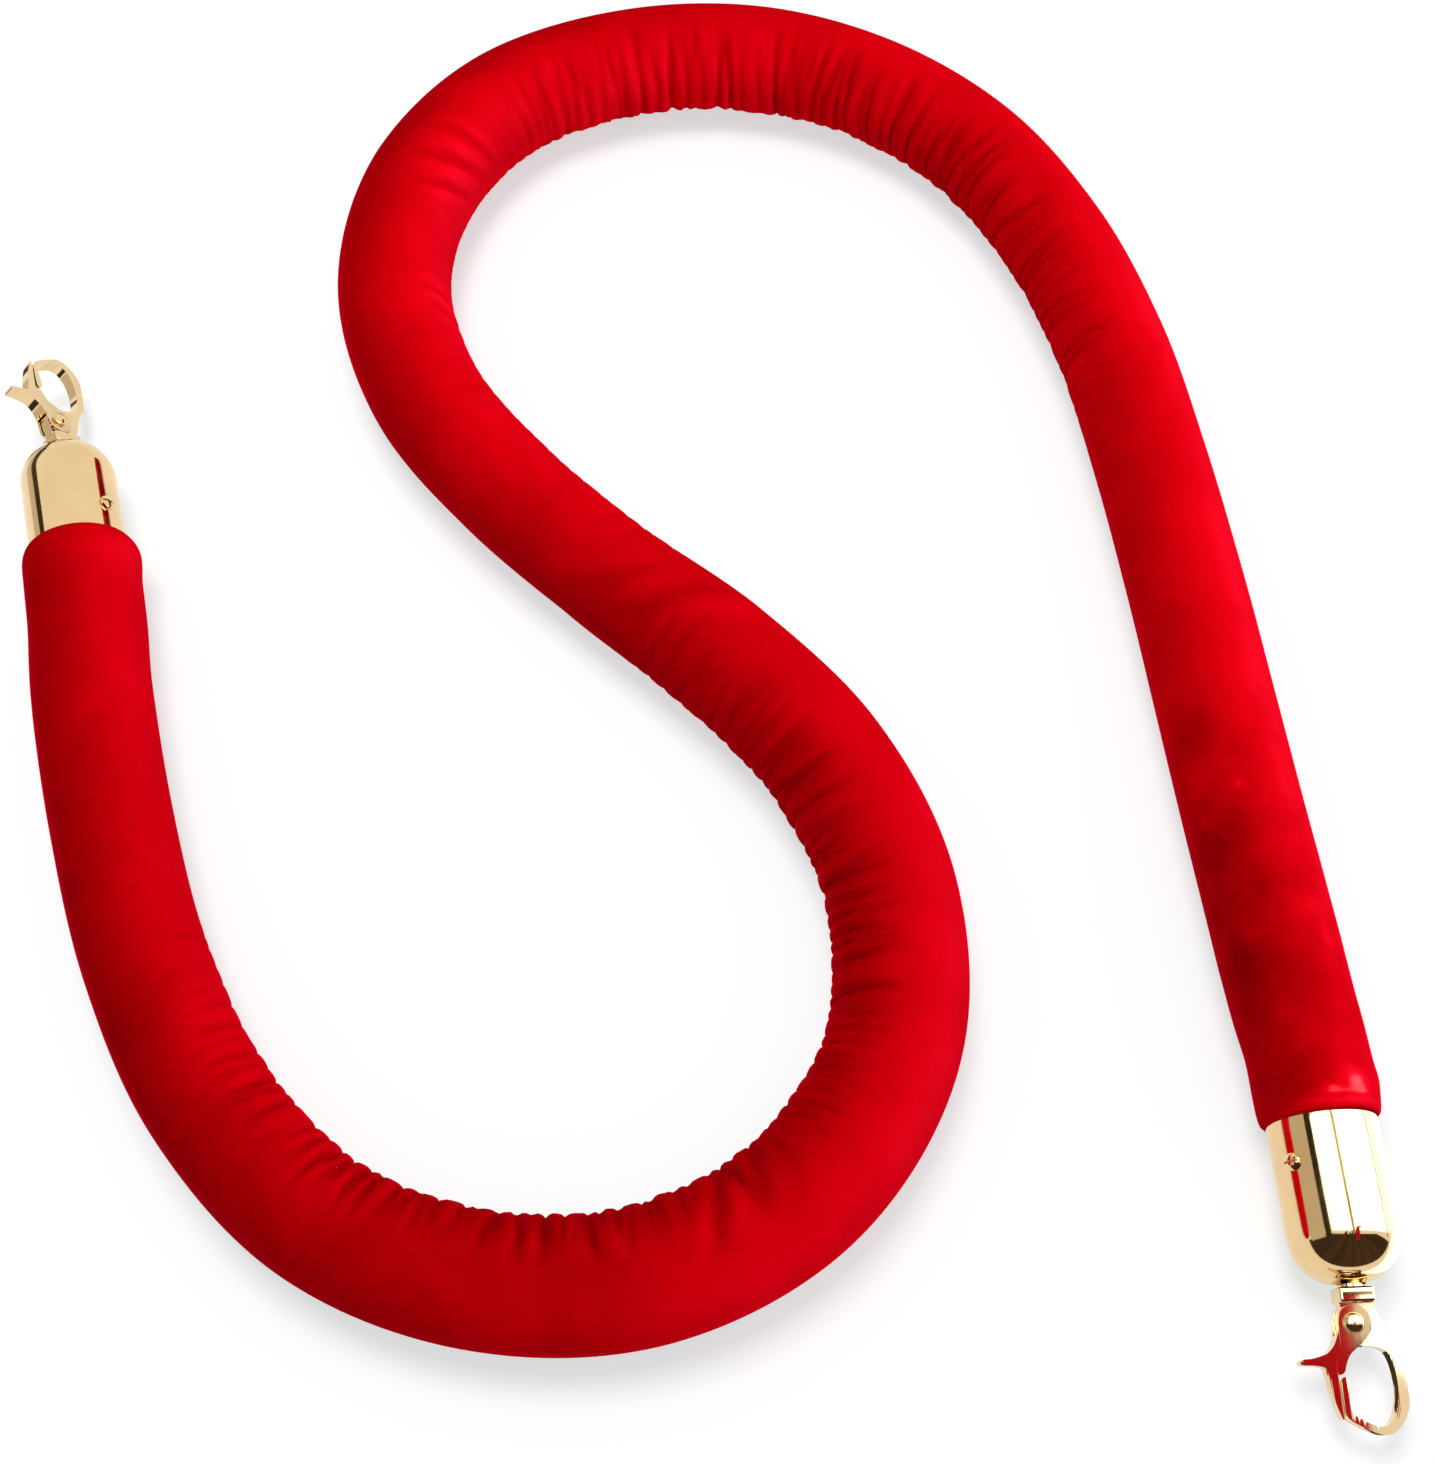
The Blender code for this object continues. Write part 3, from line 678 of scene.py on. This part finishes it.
def box(name, size, at):
    """Box of a size with its centre at a place, both in millimetres."""
    me = bpy.data.meshes.new(name)
    bm = bmesh.new()
    bmesh.ops.create_cube(bm, size=1.0)
    bmesh.ops.scale(bm, vec=[v * MM for v in size], verts=bm.verts)
    bmesh.ops.translate(bm, vec=[v * MM for v in at], verts=bm.verts)
    bm.to_mesh(me)
    bm.free()
    return me


def rounded_outline(pts, sub):
    """Closed Catmull-Rom curve through the points, sub steps to each."""
    out, n = [], len(pts)
    for i in range(n):
        a, b, c, d = (Vector(pts[(i + k) % n]) for k in (-1, 0, 1, 2))
        for k in range(sub):
            t = k / sub
            out.append(0.5 * (2 * b + (c - a) * t + (2 * a - 5 * b + 4 * c - d) * t * t
                              + (3 * b - a - 3 * c + d) * t ** 3))
    return out


def slab(name, outline, half):
    """Flat outline extruded half each way (mm)."""
    cu = bpy.data.curves.new(name, "CURVE")
    cu.dimensions = "2D"
    cu.fill_mode = "BOTH"
    cu.extrude = half * MM
    sp = cu.splines.new("POLY")
    sp.points.add(len(outline) - 1)
    for p, q in zip(sp.points, outline):
        p.co = (q[0] * MM, q[1] * MM, 0.0, 1.0)
    sp.use_cyclic_u = True
    me = applied(new_object(name, cu))
    bm = bmesh.new()
    bm.from_mesh(me)
    bmesh.ops.remove_doubles(bm, verts=bm.verts, dist=0.000001)
    bmesh.ops.recalc_face_normals(bm, faces=bm.faces)
    bm.to_mesh(me)
    bm.free()
    me.materials.clear()
    return me


def applied(ob):
    """Mesh of an object with its modifiers, and the object removed."""
    bpy.context.view_layer.update()
    me = bpy.data.meshes.new_from_object(ob.evaluated_get(bpy.context.evaluated_depsgraph_get()))
    bpy.data.objects.remove(ob, do_unlink=True)
    return me


def combine(ob, other, op):
    """Joins another object on, or cuts it out."""
    m = ob.modifiers.new(other.name, "BOOLEAN")
    m.operation = op
    m.solver = "EXACT"
    m.object = other


def round_edges(ob, width, segments):
    """Rounds the edges that turn by more than 40 degrees."""
    m = ob.modifiers.new("edges", "BEVEL")
    m.width = width * MM
    m.segments = segments
    m.limit_method = "ANGLE"
    m.angle_limit = math.radians(40.0)


def smooth_by_angle(me):
    me.polygons.foreach_set("use_smooth", [True] * len(me.polygons))
    me.set_sharp_from_angle(angle=math.radians(35.0))


def flat_faced(me):
    """Large faces keep their own direction and only the rounded edges turn."""
    smooth_by_angle(me)
    ob = new_object("faced", me)
    m = ob.modifiers.new("normals", "WEIGHTED_NORMAL")
    m.keep_sharp = True
    return applied(ob)


def dome_profile():
    """Superellipse from the pin hole down to the cap's straight side."""
    steps, power = 26, 2.3
    out = [(DOME + H_DOME, R_PIN + 0.25)]
    for i in range(1, steps + 1):
        t = math.pi / 2 * (1 - i / steps)
        height = DOME + H_DOME * math.sin(t) ** (2 / power)
        radius = R_CAP * math.cos(t) ** (2 / power)
        if radius > R_PIN + 0.3:
            out.append((height, radius))
    return out


def cap_profile():
    """Outside from the pin hole down to the rim under the velvet, then the
    inside back up."""
    outer = dome_profile() + [(DOME - 1.5, R_CAP), (DOME - 8, R_CAP), (8.0, R_CAP), (0.0, R_CAP),
                              (-CAP_IN + 0.3, R_CAP), (-CAP_IN, R_CAP - 0.3)]
    inner = [(-CAP_IN, R_CAP - T_CAP), (0.0, R_CAP - T_CAP), (DOME, R_CAP - T_CAP),
             (DOME + 6.5, R_CAP - 2.6), (DOME + 11.0, 8.0), (DOME + 12.9, R_PIN + 0.3),
             (DOME + H_DOME - 0.1, R_PIN + 0.25)]
    return outer + inner


# Turned parts, (height along the axis, radius) in millimetres: the screw from
# the rope's axis, the pin from the dome's centre, the rivet from its middle.
SCREW = [(15.75, 0.0), (15.7, 0.8), (15.5, 1.6), (15.1, 2.15), (14.6, 2.3), (14.2, 2.3),
         (14.0, 1.4), (7.0, 1.4), (6.5, 0.0)]
PIN = [(17.7, 0.0), (17.7, 2.8), (17.3, R_PIN), (14.3, R_PIN), (10.1, R_PIN), (10.1, 4.6),
       (8.6, 4.4), (8.0, 3.4), (8.0, 0.0)]
RIVET = [(4.55, 0.0), (4.5, 0.8), (4.3, 1.6), (3.9, 2.3), (3.45, 2.6), (3.35, 2.6), (3.35, 1.4),
         (-3.35, 1.4), (-3.35, 2.2), (-3.8, 2.1), (-4.1, 1.3), (-4.15, 0.0)]
ON_END = Matrix.Rotation(-math.pi / 2, 4, "Y")     # turns a lathe's X axis to face out


def without(*tools):
    """Removes the objects that have joined or cut another."""
    for ob in tools:
        bpy.data.objects.remove(ob, do_unlink=True)


def hook_mesh():
    """Forged hook: rounded bar and block collar, bored for the swivel pin."""
    hook = new_object("hook", slab("hook", rounded_outline(HOOK, 5), HOOK_T))
    round_edges(hook, 1.3, 6)
    collar = new_object("collar", box("collar", *COLLAR))
    round_edges(collar, 0.85, 4)
    combine(hook, collar, "UNION")
    r_bore = R_PIN + 0.1
    bore = new_object("bore", lathe("bore", [(13.0, 0.0), (13.0, r_bore), (18.0, r_bore), (18.0, 0.0)], 40))
    combine(hook, bore, "DIFFERENCE")
    me = applied(hook)
    without(collar, bore)
    return flat_faced(me)


def lever_mesh():
    """Gate lever: it thins away from its rivet, carries the nose, and a slot
    lets it straddle the hook."""
    me = slab("lever", rounded_outline(LEVER, 5), LEVER_T)
    start, end = (pick(along for along, _ in LEVER) for pick in (min, max))
    for v in me.vertices:
        v.co.z *= 1.0 - LEVER_TAPER * (v.co.x / MM - start) / (end - start)
    lever = new_object("lever", me)
    round_edges(lever, 0.7, 4)
    nose = new_object("nose", slab("nose", rounded_outline(NOSE, 4), NOSE_T))
    round_edges(nose, 0.6, 3)
    gap = new_object("gap", slab("gap", [Vector(p) for p in SADDLE], SADDLE_T))
    combine(lever, nose, "UNION")
    combine(lever, gap, "DIFFERENCE")
    me = applied(lever)
    without(nose, gap)
    return flat_faced(me)


def screw_mesh():
    """Domed head with a slot, and its shank."""
    screw = new_object("screw", lathe("screw", SCREW, 40))
    cut = new_object("slot", box("slot", *SCREW_SLOT))
    combine(screw, cut, "DIFFERENCE")
    me = applied(screw)
    without(cut)
    smooth_by_angle(me)
    return me


def build_fittings(side):
    e = ENDS[side]
    edge = Vector(e["edge"]) + SHIFT
    centre = edge + heading(e["head"], e["droop"]) * DOME * MM
    at_edge = Matrix.Translation(edge) @ axes(e["head"], e["droop"]).to_4x4()
    swivel = Matrix.Translation(centre) @ axes(e["s_head"], e["s_droop"], e["roll"]).to_4x4()
    off_top = Matrix.Rotation(math.radians(SCREW_TURN - 180.0), 4, "X") @ ON_END
    on_face = at_edge @ Matrix.Translation((SCREW_AT * MM, 0, 0)) @ off_top
    gate = swivel @ Matrix.Translation((PIVOT[0] * MM, PIVOT[1] * MM, 0)) @ ON_END
    hook_body, gate_body = side + "_swivel_hook", side + "_gate"

    cap = lathe(side + "_cap", cap_profile(), 128)
    fit(side + "_cap_shell", cap, GOLD, "rope", at_edge, side + "_end_cap")
    fit(side + "_slotted_screw", screw_mesh(), GOLD, "rope", on_face, side + "_cap_screw")
    pin = lathe("pin", PIN, 48)
    fit(side + "_headed_pin", pin, GOLD_HOOK, hook_body, swivel, side + "_swivel_pin")
    fit(side + "_forged_hook", hook_mesh(), GOLD_HOOK, hook_body, swivel, side + "_hook")
    fit(side + "_cast_lever", lever_mesh(), GOLD_HOOK, gate_body, swivel, side + "_gate_lever")
    rivet = lathe("rivet", RIVET, 48)
    fit(side + "_domed_rivet", rivet, GOLD_HOOK, hook_body, gate, side + "_gate_rivet")


def finish(node, mat):
    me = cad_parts[node].data
    me.materials.clear()
    me.materials.append(mat)


for side in ("left", "right"):
    build_fittings(side)
    for node, mat in (("end_plug", WOOD), ("swivel_washer", GOLD), ("gate_spring", STEEL)):
        finish(f"{side}_{node}", mat)
finish("wadding_core", WADDING)
finish("load_cord", CORD)
# CAD nodes that a finer piece replaces carry its finish too
for node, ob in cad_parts.items():
    if ob.hide_render:
        finish(node, VELVET if node == "velvet_sleeve" else GOLD)


# ---------------------------------------------------------------- studio
def floor_material():
    """Pale translucent table, softly lit from below as well."""
    m = Nodes("light_table", roughness=0.75, colour=(0.36, 0.33, 0.325), Specular_IOR_Level=0.1,
              Emission_Color=(0.92, 0.985, 1.0, 1.0), Emission_Strength=0.61)
    m.link(m.bump(m.noise(700.0), 0.04, 0.00005), m.bsdf.inputs["Normal"])
    return m.mat


def plane(name, size, location, mat, rotation=(0, 0, 0)):
    me = bpy.data.meshes.new(name)
    bm = bmesh.new()
    bmesh.ops.create_grid(bm, x_segments=1, y_segments=1, size=0.5)
    bmesh.ops.scale(bm, vec=(*size, 1.0), verts=bm.verts)
    bm.to_mesh(me)
    bm.free()
    ob = new_object(name, me)
    ob.location = location
    ob.rotation_euler = rotation
    me.materials.append(mat)
    return ob


def soft_key(location, size, power):
    """Square light that faces the rope and doesn't show in the metal."""
    data = bpy.data.lights.new("key_soft", "AREA")
    data.size = size
    data.energy = power
    ob = new_object("key_soft", data)
    ob.location = location
    ob.rotation_euler = (-Vector(location)).to_track_quat("-Z", "Y").to_euler()
    ob.visible_glossy = False


def white_room(seen, felt):
    """White all round: its strength for camera and metal, and a dimmer one
    for the light that cloth and floor get."""
    world = bpy.data.worlds.new("studio")
    scene.world = world
    world.use_nodes = True
    nodes, links = world.node_tree.nodes, world.node_tree.links
    back = nodes["Background"]
    back.inputs["Color"].default_value = (1.0, 1.0, 1.0, 1.0)
    rays = nodes.new("ShaderNodeLightPath")
    dim = nodes.new("ShaderNodeMapRange")
    dim.inputs["To Min"].default_value = seen
    dim.inputs["To Max"].default_value = felt
    links.new(rays.outputs["Is Diffuse Ray"], dim.inputs["Value"])
    links.new(dim.outputs["Result"], back.inputs["Strength"])


plane("floor", (30.0, 30.0), (0, 0, 0), floor_material())
soft_key((-0.19, 0.26, 1.7), 0.72, 24.0)
white_room(1.0, 0.58)


def card(name, strength, colour, place, normal, long_axis, size):
    """A studio card that only polished metal sees, size = (width, length)."""
    m = Nodes(name, colour=(0, 0, 0), roughness=1.0, Specular_IOR_Level=0.0,
              Emission_Color=(*colour, 1.0), Emission_Strength=strength)
    z = Vector(normal).normalized()
    x = Vector(long_axis).cross(z).normalized()
    turn = Matrix((x, z.cross(x), z)).transposed()
    ob = plane(name, size, place, m.mat, turn.to_euler())
    for ray in ("camera", "diffuse", "transmission", "volume_scatter", "shadow"):
        setattr(ob, "visible_" + ray, False)


def strip_for_cap(name, side, a0, a1, strength, colour, distance, length, forward):
    """A card that fills a cap's reflection between two angles off its top
    (degrees, towards +X), seen from the camera's place."""
    u = heading(ENDS[side]["head"], ENDS[side]["droop"])
    across = u.cross(Vector((0, 0, 1))).normalized()
    if across.x < 0:
        across.negate()
    up = across.cross(u)
    if up.z < 0:
        up.negate()
    middle = Vector(ENDS[side]["edge"]) + SHIFT + u * AIM_AT
    a = math.radians((a0 + a1) / 2)
    n = up * math.cos(a) + across * math.sin(a)
    view = (cam_ob.location - middle).normalized()
    d = 2 * n.dot(view) * n - view
    width = 2 * distance * math.tan(math.radians(a1 - a0))
    card(name, strength, colour, middle + d * distance + u * forward, d, u, (width, length))


AIM_AT = 0.014        # m from the velvet's edge, where the strips meet a cap
WARM = (1.0, 0.75, 0.5)
COOL = (0.85, 0.95, 1.0)
TAN = (1.0, 0.92, 0.80)
# name, end, from and to (degrees), strength, colour, distance, length, forward
for strip in (
        ("softbox", "right", -27.0, 37.0, 3.4, COOL, 0.25, 0.23, -0.020),
        ("door_edge", "right", -33.5, -27.5, 0.03, WARM, 0.15, 0.16, 0.0),
        ("wall_tan", "right", -50.6, -33.5, 0.62, TAN, 0.16, 0.16, 0.0),
        ("frame_thin_a", "right", -7.5, -5.0, 0.45, WARM, 0.14, 0.14, 0.0),
        ("frame_thin_b", "right", 30.0, 31.5, 0.60, WARM, 0.14, 0.14, 0.0),
        ("door_edge_left", "left", -32.0, -26.0, 0.05, WARM, 0.15, 0.20, 0.0),
        ("wall_tan_left", "left", -58.0, -32.0, 0.66, TAN, 0.16, 0.22, 0.0)):
    strip_for_cap(*strip)

# the room in front of the table is dark with an uneven top
card("room_dark", 0.05, (1.0, 0.66, 0.40), (0.20, -0.42, 0.45), (0, -1, 0), (0, 0, 1), (2.4, 0.9))
for k, (x, width, top) in enumerate(((0.02, 0.10, 1.3), (0.17, 0.06, 1.1), (0.25, 0.05, 2.6),
                                     (0.34, 0.09, 1.2), (0.47, 0.10, 1.7))):
    card(f"room_post_{k}", 0.07, (1.0, 0.60, 0.36), (x, -0.415, top / 2), (0, -1, 0), (0, 0, 1),
         (width, top))

# level cards: the bright table beside the right end, red and brown cloth that
# the right lever and its collar show, and dark edges of the table by the hooks
for name, strength, colour, place, long_axis, size in (
        ("table_glow", 2.6, COOL, (0.34, -0.14, 0.0006), (0, 1, 0), (0.27, 0.20)),
        ("red_cloth", 0.50, (1.0, 0.01, 0.03), (0.2360, -0.2440, 0.225), (0, 1, 0), (0.030, 0.086)),
        ("brown_cloth", 0.12, (1.0, 0.45, 0.25), (0.2480, -0.1965, 0.225), (0, 1, 0), (0.034, 0.009)),
        ("table_dark_b", 0.05, WARM, (0.1860, -0.2250, 0.0007), (0, 1, 0), (0.006, 0.022)),
        ("table_dark_c", 0.05, WARM, (0.1880, -0.2405, 0.0007), (0, 1, 0), (0.022, 0.004)),
        ("table_dark", 0.06, WARM, (-0.236, 0.112, 0.0007), (-0.29, 0.96, 0), (0.016, 0.07))):
    card(name, strength, colour, place, (0, 0, 1), long_axis, size)
